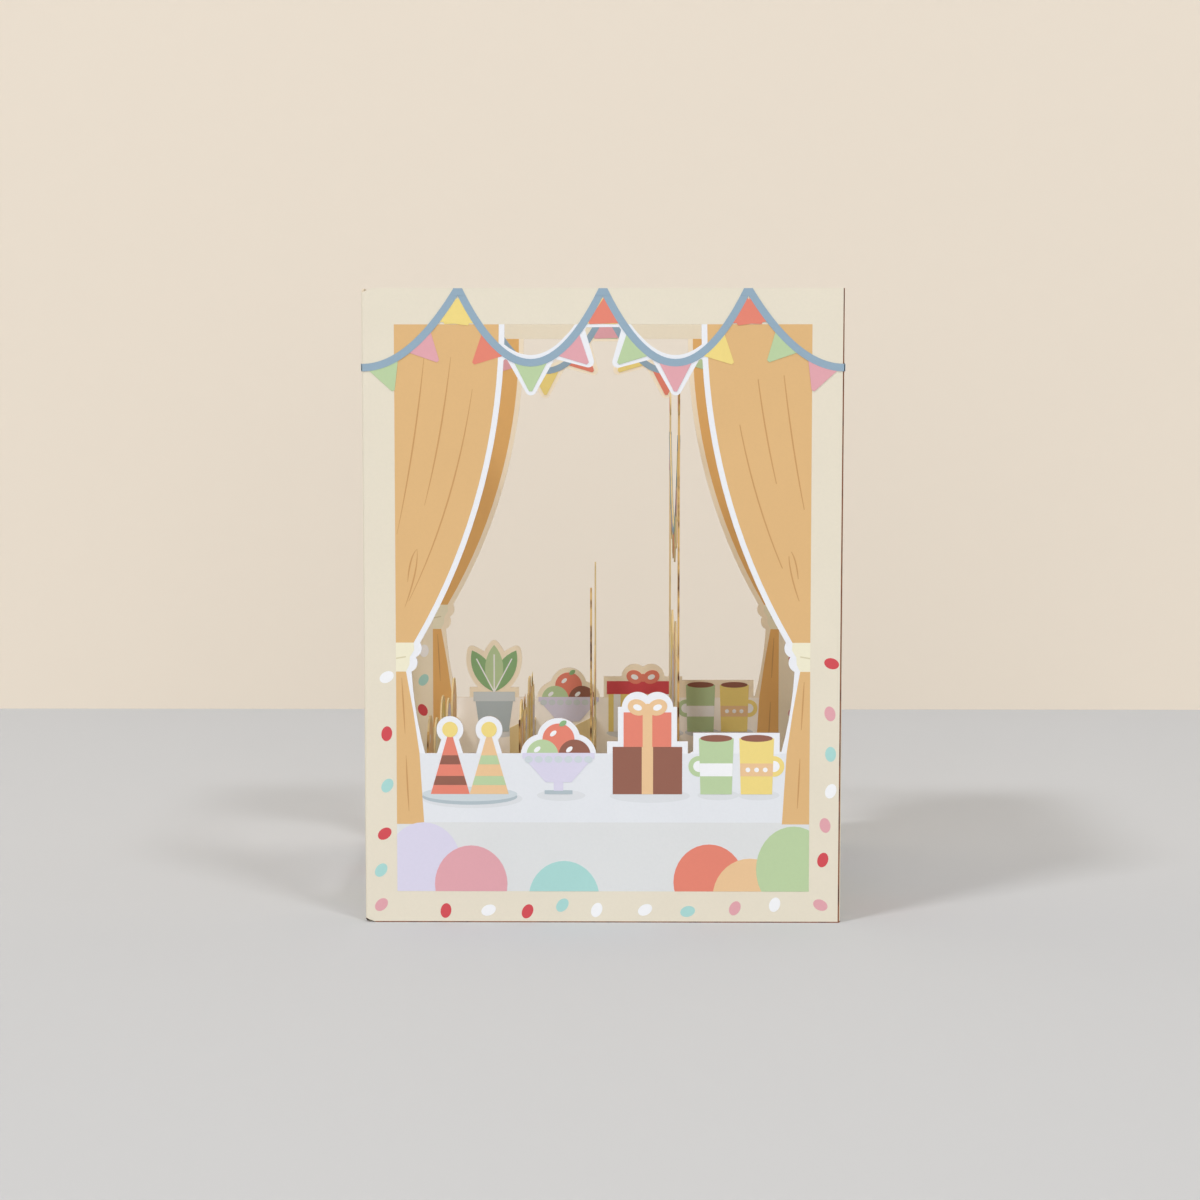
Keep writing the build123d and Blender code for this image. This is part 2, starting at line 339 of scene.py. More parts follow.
def sleeve_card():
    """Cream board, bare white inside the printed window, scorched edges; painted light inside, painted
    shade at the lapped end and foot.
    """
    material = new_material("sleeve card")
    tree = material.node_tree
    place, normal = place_and_normal(tree)
    across = maths(tree, "ABSOLUTE", place[0])
    along = maths(tree, "ABSOLUTE", place[1])
    half_width = card_width / 2 * mm
    half_depth = card_depth / 2 * mm
    band = wall_band * mm

    inside_frame = all_true(
        tree,
        below(tree, maths(tree, "MINIMUM", across, along), half_width - frame_border * mm),
        above(tree, place[2], frame_foot * mm),
        below(tree, place[2], (card_height - top_rail) * mm),
    )
    deepest = maths(tree, "MAXIMUM", across, along)
    inner_face = below(tree, deepest, half_width - card_thickness / 2 * mm)
    # Painted light: the inner faces take the lighter, warmer inside colours in place of light that reaches
    # them.
    cream = blend(tree, inner_face, cream_card, cream_inside_painted_light)
    white = blend(tree, inner_face, white_card, white_inside_painted_light)
    board = blend(tree, inside_frame, cream, white)

    between_ends = all_true(
        tree,
        above(tree, place[2], end_band * mm),
        below(tree, place[2], (card_height - end_band) * mm),
    )
    front_or_back = all_true(
        tree,
        above(tree, along, half_depth - band),
        below(tree, across, half_width - band),
        below(tree, normal[1], turned_away),
        between_ends,
    )
    left_or_right = all_true(
        tree,
        above(tree, across, half_width - band),
        below(tree, along, half_depth - band),
        below(tree, normal[0], turned_away),
        between_ends,
    )
    fainter = maths(tree, "MULTIPLY", above(tree, place[2], card_height / 2 * mm), -upper_fade)
    level_edge = above(tree, normal[2], turned_away)
    end_grain = maths(tree, "MULTIPLY", level_edge, maths(tree, "ADD", fainter, 1.0))
    cut = any_true(tree, front_or_back, left_or_right, end_grain)
    browned = scorched(tree, board, cut, edge_gold, edge_char)

    # Scorch with painted shade: a strip at the front sheet's lapped right end and a line along the foot,
    # darker for the gap shadow and the table's contact shadow.
    opening = maths(tree, "MULTIPLY", place[2], fold_strip / card_height)
    line_end = maths(tree, "ADD", opening, half_width - fold_strip * mm)
    lapped_edge_scorch_and_shade = all_true(
        tree,
        below(tree, place[0], line_end),
        above(tree, place[0], maths(tree, "SUBTRACT", line_end, shaded_seam_width * mm)),
        below(tree, place[1], shaded_seam_depth * mm - half_depth),
    )
    seam_scorch_and_shade = any_true(tree, lapped_edge_scorch_and_shade, below(tree, place[2], foot_scorch_and_shade_height * mm))
    finish(material, scorched(tree, browned, seam_scorch_and_shade, seam_gold_and_shade, seam_char_and_shade), cloud_share)
    return material


frame["nodes"]["sleeve"].data.materials.clear()
frame["nodes"]["sleeve"].data.materials.append(sleeve_card())
print("sleeve finished in", frame["nodes"]["sleeve"].data.materials[0].name)

# %% Panel material
panel_names = ["balloon_panel", "gift_panel", "flower_panel", "garland_panel"]
panel_gold = linear(205, 165, 100)
panel_char = linear(92, 56, 30)
scorch_reach = 8.0
far_fade = 0.8
panel_cloud_share = 0.06


def panel_card():
    """Warm cream board of the picture panels, scorched on its cut edges, most at the near ends."""
    material = new_material("panel card")
    tree = material.node_tree
    place, normal = place_and_normal(tree)
    along = maths(tree, "ABSOLUTE", place[1])
    flat_part = below(tree, along, (card_depth / 2 - wall_band) * mm)
    upright_cut = all_true(tree, flat_part, below(tree, normal[0], turned_away))
    cut = any_true(tree, upright_cut, above(tree, normal[2], turned_away))
    far = above(tree, place[1], (scorch_reach - card_depth / 2) * mm)
    depth = maths(tree, "SUBTRACT", 1.0, maths(tree, "MULTIPLY", far, far_fade))
    browned = scorched(tree, panel_cream, maths(tree, "MULTIPLY", cut, depth), panel_gold, panel_char)
    finish(material, browned, panel_cloud_share)
    return material


panel_finish = panel_card()
for name in panel_names:
    frame["nodes"][name].data.materials.clear()
    frame["nodes"][name].data.materials.append(panel_finish)
print("panels finished:", ", ".join(panel_names))

# %% [markdown]
# ## Drawing in slabs of ink
#
# Print could be painted by shader maths, but shapes that meet the die lines to a tenth of a
# millimetre are easier to draw as outlines. Each shape becomes a closed slab a few hundredths of a
# millimetre high, sunk a little into the card, and a level number says which lies over which. A
# sheet is drawn with u to the right, v up and h out of the card, then carried to its wall.

# %% Sheet
ink_step = 0.012
ink_sunk = 0.01


class Sheet:
    """A flat printed picture, drawn in millimetres."""

    def __init__(self, step=ink_step):
        self.step = step
        self.points = []
        self.faces = []
        self.colours = []
        self.shapes = 0

    def put(self, ink, outline, level):
        """Lay a closed slab of ink with this outline, its top at the level."""
        count = len(outline)
        turns = sum(a[0] * b[1] - b[0] * a[1] for a, b in zip(outline, outline[1:] + outline[:1]))
        ring = outline if turns > 0 else outline[::-1]
        start = len(self.points)
        for height in (-ink_sunk, level * self.step):
            self.points += [(u, v, height) for u, v in ring]
        self.colours += [inks[ink]] * (2 * count)
        self.faces.append([start + index for index in reversed(range(count))])
        self.faces.append([start + count + index for index in range(count)])
        for index in range(count):
            after = (index + 1) % count
            low = (start + index, start + after)
            self.faces.append([*low, start + count + after, start + count + index])
        self.shapes += 1

    def mesh(self, name):
        """The sheet's slabs as one mesh with its ink attribute and material."""
        mesh = bpy.data.meshes.new(name)
        mesh.from_pydata(self.points, [], self.faces)
        layer = mesh.attributes.new("ink", "FLOAT_COLOR", "POINT")
        layer.data.foreach_set("color", [part for colour in self.colours for part in colour])
        mesh.materials.append(ink_print)
        return mesh


print("ink levels are", ink_step, "mm apart")

# %% Outlines
def turned(points, u, v, lean):
    """Points about the origin, leaned to the right by an angle and moved to a place."""
    turn = radians(-lean)
    return [(u + a * cos(turn) - b * sin(turn), v + a * sin(turn) + b * cos(turn)) for a, b in points]


def oval(u, v, half_width, half_height, lean=0.0, count=36):
    """Oval about a point, leaning to the right by an angle."""
    angles = [2 * pi * step / count for step in range(count)]
    return turned([(half_width * cos(angle), half_height * sin(angle)) for angle in angles], u, v, lean)


def block(u, v, width, height, top=None):
    """Block that stands at height v; with a top width it tapers."""
    foot = width / 2
    head = foot if top is None else top / 2
    return [(u - foot, v), (u + foot, v), (u + head, v + height), (u - head, v + height)]


def leaf(u, v, width, length, lean=0.0, count=10):
    """Pointed leaf that grows from a point and leans to the right by an angle."""
    radius = (length ** 2 + width ** 2) / (4 * width)
    reach = asin(length / 2 / radius)
    side = []
    for step in range(count + 1):
        swing = reach * (2 * step / count - 1)
        side.append((radius * cos(swing) - radius + width / 2, length / 2 + radius * sin(swing)))
    return turned(side + [(-a, b) for a, b in side[-2:0:-1]], u, v, lean)


def stroke(points, width):
    """Outline of a line of even width through points."""
    left = []
    right = []
    for index, point in enumerate(points):
        before = points[max(index - 1, 0)]
        after = points[min(index + 1, len(points) - 1)]
        length = hypot(after[0] - before[0], after[1] - before[1])
        across = (width / 2 * (before[1] - after[1]) / length, width / 2 * (after[0] - before[0]) / length)
        left.append((point[0] + across[0], point[1] + across[1]))
        right.append((point[0] - across[0], point[1] - across[1]))
    return right + left[::-1]


def trim(outline, axis, limit, side):
    """Part of a convex outline beyond a limit on one axis: above it for side 1, below for -1."""
    kept = []
    for index, point in enumerate(outline):
        other = outline[index - 1]
        here = side * (point[axis] - limit)
        there = side * (other[axis] - limit)
        if here * there < 0:
            share = there / (there - here)
            kept.append(tuple(a + share * (b - a) for a, b in zip(other, point)))
        if here >= 0:
            kept.append(point)
    return kept


def seats(count, length):
    """Places of count things spread evenly along a length about its middle."""
    return [length / count * (index + 0.5) - length / 2 for index in range(count)]


print("a balloon outline has", len(oval(0, 0, 5, 5)), "points")

# %% [markdown]
# ## Curtains and tablecloth
#
# Each wall shows a window with tied-back curtains above a clothed table. The left wall's window goes
# down to a low sill, so only the front of its cloth shows. The printed curtain keeps a margin of bare
# card to the cut: its edge is the die line's arc with a smaller radius about the same centre. The
# cloth has a top and a slightly darker front that meet at a fold.

# %% Window print
cut_margin = 1.3
curtain_reach_top = 32.6
curtain_reach_tie = 13.0
curtain_reach_table = 14.0
curtain_reach_knot = 11.0
table_height = 39.5
sill_height = 24.7
cloth_fold = 23.4
tie_top = 65.1
tie_bottom = 58.4
tie_frill = 0.1
tie_frill_rise = 1.6
tie_frill_fall = 1.7
crease_width = 0.3
crease_gap = 0.9
crease_dip = 0.3
knot_share = 0.45
hem_lap = 0.4
hem_slope = 16
cloth_inset = 3.0
cut_gap = 0.03
half_wall = card_width / 2
frame_side = half_wall - frame_border
frame_top = card_height - top_rail


def drape_edge(steps=16):
    """Printed edge of the right-hand curtain from the rail down to the tie."""
    reach = curtain_reach_top - curtain_reach_tie
    fall = frame_top - tie_top
    radius = (reach ** 2 + fall ** 2) / (2 * reach)
    centre = half_wall - curtain_reach_top + radius
    heights = [frame_top - fall * step / steps for step in range(steps + 1)]
    return [(centre - sqrt((radius - cut_margin) ** 2 - (frame_top - v) ** 2), v) for v in heights]


def draw_curtains(sheet, foot, ink):
    """Two tied-back curtains with their ties, beside a window that goes down to its foot."""
    drape = drape_edge()
    upper = [(frame_side, tie_top), (frame_side, frame_top), *drape]
    knot = half_wall - curtain_reach_knot + cut_margin
    table = half_wall - curtain_reach_table + cut_margin
    hem = cloth_fold - hem_lap
    halfway = (knot_share * knot + (1 - knot_share) * table, (tie_bottom + foot) / 2)
    lower = [
        (frame_side, tie_bottom), (knot, tie_bottom), halfway,
        (table, foot), (table - (foot - cloth_fold) / hem_slope, hem), (frame_side, hem),
    ]
    drape_end = drape[-1][0]
    waist = (drape_end + knot) / 2
    middle = (tie_top + tie_bottom) / 2
    tie = [
        (frame_side, tie_bottom), (frame_side, tie_top), drape[-1],
        (drape_end - tie_frill, middle + tie_frill_rise), (waist, middle),
        (waist + tie_frill, middle - tie_frill_fall), (knot, tie_bottom),
    ]
    crease = [(frame_side, middle - crease_dip), (waist + crease_gap, middle + tie_frill)]
    for side in (-1, 1):
        for part_ink, outline, level in ((ink, upper, 2), (ink, lower, 2), ("tie", tie, 3)):
            sheet.put(part_ink, [(side * u, v) for u, v in outline], level)
        sheet.put("tie_line", stroke([(side * u, v) for u, v in crease], crease_width), 4)


def draw_cloth(sheet, foot, ink):
    """Tablecloth: its front down to the frame, and its top where the window's foot is that high."""
    sheet.put("cloth_front", block(0, frame_foot, 2 * frame_side, cloth_fold - frame_foot), 1)
    if foot == table_height:
        width = 2 * (frame_side - cloth_inset)
        sheet.put(ink, block(0, cloth_fold, width, table_height - cloth_fold - cut_gap), 1)


trial = Sheet()
draw_cloth(trial, table_height, "cloth")
draw_curtains(trial, table_height, "curtain")
print("window print:", trial.shapes, "shapes,", len(trial.points), "points")

# %% [markdown]
# ## Balloons along the foot
#
# Round balloons sit in front of the cloth and are cropped by the frame's straight edge, so a plain
# oval is drawn and trimmed on three sides. Later balloons lie one level higher than earlier ones.

# %% Foot balloons
foot_balloons = [
    (-41.5, 14.0, 8.6, 9.4, "lilac"),
    (-30.5, 9.0, 8.4, 9.0, "pink"),
    (-9.0, 5.6, 8.2, 8.8, "teal"),
    (24.5, 9.5, 8.2, 8.8, "coral"),
    (34.0, 6.0, 8.6, 9.0, "peach"),
    (44.0, 12.5, 8.6, 10.0, "green"),
]


def draw_foot_balloons(sheet, turn):
    """Balloons cropped by the frame; turn shifts the colours from wall to wall."""
    colours = [row[4] for row in foot_balloons]
    for index, (u, v, half_width, half_height, _) in enumerate(foot_balloons):
        outline = trim(oval(u, v, half_width, half_height), 1, frame_foot, 1)
        outline = trim(trim(outline, 0, frame_side, -1), 0, -frame_side, 1)
        sheet.put(colours[(index + turn) % len(colours)], outline, 3 + index % 3)


print(len(foot_balloons), "balloons along each foot")

# %% [markdown]
# ## Things on the table
#
# Four party things stand on each table top and rise above its edge, each inside its die line: paper
# hats, wrapped boxes, fruit in a bowl, mugs, a plant and a round box. They are plain shapes in the
# palette. `hues` gives each its colours, and two sets of them take turns from wall to wall.

# %% Shadow, bow and hats
table_stand = 30.0
shadow_level = 1.5
shadow_shift = 0.6
bow_radius = 2.3
bow_lean = 20
bow_knot = (1.0, 1.1)
plate_radius = 11.0
plate_depth = 0.6
plate_tilt = 1.7
plate_side_tilt = 1.9
plate_shadow = (1.1, plate_radius + 0.6, 2.2)
hat_width = 9.0
hat_height = 15.0
hat_tip = 0.3
band_lows = (0.14, 0.46)
band_share = 0.14
pompom_radius = 1.8


def draw_shadow(sheet, u, drop, half_width, half_height):
    """Soft shadow on the cloth, under the foot of a thing and a little to its right."""
    shadow = oval(u + shadow_shift, table_stand - drop, half_width, half_height)
    sheet.put("plate_shadow", shadow, shadow_level)


def draw_bow(sheet, u, v, ink):
    """Two loops and a knot, tied at height v."""
    for side in (-1, 1):
        loop = (u + side * bow_radius, v + bow_radius / 2)
        lean = -side * bow_lean
        sheet.put(ink, oval(*loop, bow_radius, 0.8 * bow_radius, lean), 8)
        sheet.put("white", oval(*loop, 0.45 * bow_radius, 0.3 * bow_radius, lean, 20), 9)
    sheet.put(ink, oval(u, v + 0.4 * bow_radius, *bow_knot, count=20), 10)


def draw_hats(sheet, u, hues):
    """Two paper hats with pompoms and bands, on a plate seen from a little above."""
    draw_shadow(sheet, u, *plate_shadow)
    sheet.put("plate_side", oval(u, table_stand - plate_depth, plate_radius, plate_side_tilt), 3)
    sheet.put("plate", oval(u, table_stand, plate_radius, plate_tilt), 4)
    for side, ink, band in ((-1, hues[0], hues[1]), (1, hues[2], hues[3])):
        middle = u + side * hat_width / 2
        sheet.put(ink, block(middle, table_stand, hat_width, hat_height, hat_tip), 5)
        for low in band_lows:
            lift = table_stand + low * hat_height
            foot = hat_width * (1 - low)
            head = hat_width * (1 - low - band_share)
            sheet.put(band, block(middle, lift, foot, band_share * hat_height, head), 6)
        top = table_stand + hat_height
        sheet.put("yellow", oval(middle, top, pompom_radius, pompom_radius, count=24), 7)


print("hats are", hat_height, "mm high with", 2 * pompom_radius, "mm pompoms")

# %% Wrapped boxes and fruit bowl
box_width = 16.0
box_height = 11.0
box_ribbon = 2.6
box_shadow = (0.4, 0.58 * box_width, 1.6)
small_box_width = 11.0
small_box_height = 8.0
small_box_ribbon = 2.2
fruit_radius = 3.7
fruit_lift = 9.0
fruit_dip = 0.6
shine_size = (0.9, 0.5)
shine_lean = -40
bowl_shadow = (0.3, 5.6, 1.3)
bowl_foot = (6.4, 0.9)
bowl_stem = (2.2, 2.4)
bowl_stem_lift = 0.8
bowl_base_width = 6.0
bowl_base_lift = 2.8
bowl_side_height = fruit_lift - 3.4
rim_width = 2 * (2 * fruit_radius + 0.9)
rim_height = 1.3
rim_drop = 0.7
rim_reach = 0.4
scallops = 7
scallop_size = (0.95, 0.8)
scallop_drop = 0.9


def draw_gift_stack(sheet, u, hues):
    """A small wrapped box on a large one, tied with a bow."""
    shoulder = table_stand + box_height
    draw_shadow(sheet, u, *box_shadow)
    sheet.put(hues[0], block(u, table_stand, box_width, box_height), 5)
    sheet.put(hues[2], block(u, table_stand, box_ribbon, box_height), 6)
    sheet.put(hues[1], block(u, shoulder, small_box_width, small_box_height), 5)
    sheet.put(hues[2], block(u, shoulder, small_box_ribbon, small_box_height), 6)
    draw_bow(sheet, u, shoulder + small_box_height, hues[2])


def draw_fruit_heap(sheet, u, hues):
    """Three fruits heaped in a footed bowl with a scalloped rim."""
    low = table_stand + fruit_lift
    draw_shadow(sheet, u, *bowl_shadow)
    places = [(u, low + fruit_radius), (u - fruit_radius, low), (u + fruit_radius, low)]
    for index, (a, b) in enumerate(places):
        fruit = trim(oval(a, b, fruit_radius, fruit_radius), 1, low - fruit_dip, 1)
        sheet.put(hues[index], fruit, 5 + index)
        sheet.put("white", oval(a - 1.2, b + 1.4, *shine_size, shine_lean, 16), 8)
    sheet.put("leaf", leaf(u + 0.2, low + 1.85 * fruit_radius, 1.2, 2.0, 55), 8)
    sheet.put("plate_side", block(u, table_stand, *bowl_foot), 7)
    sheet.put("lilac", block(u, table_stand + bowl_stem_lift, *bowl_stem), 8)
    lift = table_stand + bowl_base_lift
    sheet.put("lilac", block(u, lift, bowl_base_width, bowl_side_height, rim_width - 2 * rim_reach), 9)
    sheet.put("lilac", block(u, low - rim_drop, rim_width, rim_height), 10)
    for place in seats(scallops, rim_width - 0.6):
        sheet.put("plate", oval(u + place, low - scallop_drop, *scallop_size, count=16), 11)


print("boxes are", box_width, "mm wide, the bowl", rim_width, "mm")

# %% Mugs
mug_width = 8.0
mug_height = 13.0
mug_foot_width = 0.9 * mug_width
mug_rim = (0.46 * mug_width, 0.8)
mug_shadow = (4.8, 1.2)
mug_handle_radius = 2.4
mug_handle_hole = 1.3
mug_band_lift = 4.2
mug_band_height = 3.0
mug_band_foot = 0.93 * mug_width
mug_band_top = 0.95 * mug_width
mug_spots = 3
mug_spot_row = 6.0
mug_spot_radius = 0.55


def draw_mugs(sheet, u, hues):
    """Two straight mugs, handles outwards, each with a band of spots."""
    for side, ink, band in ((-1, hues[1], hues[0]), (1, hues[3], hues[2])):
        middle = u + side * (mug_width / 2 + cut_margin / 2)
        handle = (middle + side * mug_width / 2, table_stand + mug_height / 2)
        base = table_stand + mug_band_lift
        shadow = oval(middle + 0.5, table_stand - 0.2, *mug_shadow)
        sheet.put("plate_shadow", shadow, shadow_level + 0.2 * side)
        sheet.put(ink, oval(*handle, mug_handle_radius, mug_handle_radius, count=28), 5)
        sheet.put("white", oval(*handle, mug_handle_hole, mug_handle_hole, count=20), 6)
        sheet.put(ink, block(middle, table_stand, mug_foot_width, mug_height, mug_width), 7)
        sheet.put(band, block(middle, base, mug_band_foot, mug_band_height, mug_band_top), 8)
        for place in seats(mug_spots, mug_spot_row):
            spot = (middle + place, base + mug_band_height / 2)
            sheet.put("white", oval(*spot, mug_spot_radius, mug_spot_radius, count=14), 9)
        sheet.put("brown", oval(middle, table_stand + mug_height, *mug_rim, count=28), 8)


print("mugs are", mug_height, "mm high with", 2 * mug_handle_radius, "mm handles")

# %% Plant and round box
pot_width = 11.0
pot_height = 11.0
pot_foot_width = 0.72 * pot_width
pot_rim_width = 1.04 * pot_width
pot_rim_height = 2.6
pot_shadow = (0.3, 0.5 * pot_width, 1.4)
leaf_width = 5.0
leaf_length = 13.0
leaf_lean = 28.0
vein_share = 0.8
vein_width = 0.35
drum_width = 19.0
drum_height = 14.0
drum_shadow = (0.4, 0.56 * drum_width, 1.7)
drum_stripes = 4
drum_stripe_width = 1.9
lid_width = drum_width + 0.9
lid_height = 3.6


def draw_leafy_pot(sheet, u, hues):
    """A flower pot with three broad leaves."""
    rim = table_stand + pot_height
    draw_shadow(sheet, u, *pot_shadow)
    for index, lean in enumerate((-leaf_lean, leaf_lean, 0.0)):
        sheet.put("leaf" if index < 2 else "green", leaf(u, rim, leaf_width, leaf_length, lean), 5 + index)
        vein = turned([(0.0, 0.0), (0.0, vein_share * leaf_length)], u, rim, lean)
        sheet.put("white", stroke(vein, vein_width), 8 + 0.2 * index)
    sheet.put(hues[0], block(u, table_stand, pot_foot_width, pot_height, pot_width), 9)
    sheet.put(hues[1], block(u, rim - pot_rim_height, pot_rim_width, pot_rim_height), 10)


def draw_ribbon_drum(sheet, u, hues):
    """A striped round box with a lid and a bow."""
    top = table_stand + drum_height
    draw_shadow(sheet, u, *drum_shadow)
    sheet.put(hues[0], block(u, table_stand, drum_width, drum_height), 5)
    for place in seats(drum_stripes, drum_width):
        sheet.put("white", block(u + place, table_stand, drum_stripe_width, drum_height), 6)
    sheet.put(hues[1], block(u, top - lid_height, lid_width, lid_height), 7)
    draw_bow(sheet, u, top, hues[2])


trial = Sheet()
draw_leafy_pot(trial, 0, ["coral", "pink", "teal"])
draw_ribbon_drum(trial, 0, ["coral", "pink", "teal"])
print("plant and round box:", trial.shapes, "shapes")

# %% [markdown]
# ## Where each sheet goes
#
# A sheet faces along `facing`; up is Z, so its own right is Z crossed with that. The matrix carries
# millimetres to metres as well. It is applied to the mesh and not to the object, so that Object
# coordinates see the print exactly where it lies on the card.

# %% Placing a print
def placement(facing, origin):
    """Matrix that carries a sheet's u, v and h in millimetres to a wall of the card."""
    out = Vector(facing)
    up = Vector((0, 0, 1))
    right = up.cross(out)
    turn = Matrix((right, up, out)).transposed().to_4x4()
    return Matrix.Translation(Vector(origin) * mm) @ turn @ Matrix.Scale(mm, 4)


def lay(name, mesh, matrix):
    """Put a printed mesh on the card: it rides with the card and takes its finish from a slot."""
    mesh.name = name
    mesh.transform(matrix)
    piece = bpy.data.objects.new(name, mesh)
    bpy.context.scene.collection.objects.link(piece)
    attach(piece, "root")


wall_facings = {"front": (0, -1, 0), "left": (-1, 0, 0), "back": (0, 1, 0), "right": (1, 0, 0)}


def wall_matrix(wall, inside):
    """Placement of a picture on the outside or the inside of a wall."""
    out = Vector(wall_facings[wall])
    half = card_depth / 2 if out.y else card_width / 2
    if inside:
        return placement(-out, out * (half - card_thickness))
    return placement(out, out * half)


print("front wall's origin", [round(v, 4) for v in wall_matrix("front", False).translation])

# %% [markdown]
# ## Bunting with Geometry Nodes
#
# The bunting is a ribbon in hanging curves with flags square to it, so it follows a path and repeats:
# a case for Geometry Nodes. The tree takes the hanging line as edges, sweeps a flat bar along it for
# the ribbon, seats the flags at equal lengths, and gives each the next of four inks. Each flag sits
# a hair above the last, because neighbours cross under the peaks.

# %% Geometry Nodes helpers
four_inks = {f"Ink {number}": "Color" for number in (1, 2, 3, 4)}


def geometry_tree(name, inputs):
    """Start a Geometry Nodes group with named inputs; gives the tree, its inputs and its result."""
    tree = bpy.data.node_groups.new(name, "GeometryNodeTree")
    tree.interface.new_socket("Geometry", in_out="INPUT", socket_type="NodeSocketGeometry")
    tree.interface.new_socket("Geometry", in_out="OUTPUT", socket_type="NodeSocketGeometry")
    for label, kind in inputs.items():
        tree.interface.new_socket(label, in_out="INPUT", socket_type="NodeSocket" + kind)
    return tree, tree.nodes.new("NodeGroupInput").outputs, tree.nodes.new("NodeGroupOutput").inputs[0]


def geo(tree, kind, inputs=None, **settings):
    """Add a Geometry Nodes node; gives its first output."""
    return add(tree, "GeometryNode" + kind, inputs, **settings).outputs[0]


def vector(tree, **parts):
    """Vector socket from parts named X, Y and Z."""
    return add(tree, "ShaderNodeCombineXYZ", parts).outputs[0]


def joined(tree, *parts):
    """Several geometries as one."""
    whole = add(tree, "GeometryNodeJoinGeometry")
    for part in parts:
        tree.links.new(part, whole.inputs[0])
    return whole.outputs[0]


def slab(tree, face, depth):
    """Closed slab on a flat face: the face raised by depth, its walls, and the face turned under."""
    rise = {"Mesh": face, "Offset": (0, 0, 1), "Offset Scale": depth, "Individual": False}
    shell = joined(tree, geo(tree, "ExtrudeMesh", rise), geo(tree, "FlipFaces", {"Mesh": face}))
    return geo(tree, "MergeByDistance", {"Geometry": shell})


def swept(tree, line, width, depth, **scale):
    """Flat bar of a width and a depth swept along a line, its flat side to the card."""
    bar = geo(tree, "CurvePrimitiveQuadrilateral", {"Width": width, "Height": depth}, mode="RECTANGLE")
    upright = geo(tree, "SetCurveNormal", {"Curve": line}, mode="Z_UP")
    return geo(tree, "CurveToMesh", {"Curve": upright, "Profile Curve": bar, "Fill Caps": True, **scale})


print("trees pick from", ", ".join(four_inks))

# %% Ink and result of a tree
def inked(tree, geometry, colour, domain):
    """Geometry with its ink colour stored on points or instances."""
    named = {"Geometry": geometry, "Name": "ink"}
    kind = {"data_type": "FLOAT_COLOR", "domain": domain}
    store = add(tree, "GeometryNodeStoreNamedAttribute", named, **kind)
    value = [socket for socket in store.inputs if socket.name == "Value" and socket.enabled][0]
    tree.links.new(colour, value)
    return store.outputs["Geometry"]


def next_ink(tree, given, shift):
    """Colour picked in turn from the group's four numbered inks."""
    index = geo(tree, "InputIndex")
    turn = maths(tree, "MODULO", maths(tree, "ADD", index, shift), float(len(four_inks)))
    pick = add(tree, "GeometryNodeIndexSwitch", data_type="RGBA")
    while len(pick.index_switch_items) < len(four_inks):
        pick.index_switch_items.new()
    tree.links.new(turn, pick.inputs["Index"])
    for number, label in enumerate(four_inks):
        tree.links.new(given[label], pick.inputs[number + 1])
    return pick.outputs[0]


def scattered(tree, given, shift, points, shape, turn):
    """A shape on every point, in the group's inks by turns."""
    copies = geo(tree, "InstanceOnPoints", {"Points": points, "Instance": shape, "Rotation": turn})
    coloured = inked(tree, copies, next_ink(tree, given, shift), "INSTANCE")
    return geo(tree, "RealizeInstances", {"Geometry": coloured})


def printed(tree, geometry, material, result):
    """End a tree: flat faces in the print's material, sent to the group's result."""
    flat = geo(tree, "SetShadeSmooth", {"Geometry": geometry, "Shade Smooth": False})
    tree.links.new(geo(tree, "SetMaterial", {"Geometry": flat, "Material": material}), result)


def grow(tree, points, edges, faces, values):
    """Run a Geometry Nodes group on points, edges and faces; gives the result as a plain mesh."""
    base = bpy.data.meshes.new(tree.name)
    base.from_pydata(points, edges, faces)
    holder = bpy.data.objects.new(tree.name, base)
    bpy.context.scene.collection.objects.link(holder)
    modifier = holder.modifiers.new(tree.name, "NODES")
    modifier.node_group = tree
    for item in tree.interface.items_tree:
        if item.in_out == "INPUT" and item.name in values:
            modifier[item.identifier] = values[item.name]
    graph = bpy.context.evaluated_depsgraph_get()
    mesh = bpy.data.meshes.new_from_object(holder.evaluated_get(graph), depsgraph=graph)
    bpy.data.objects.remove(holder)
    return mesh


print("a tree's result ends as a plain mesh in", ink_print.name)

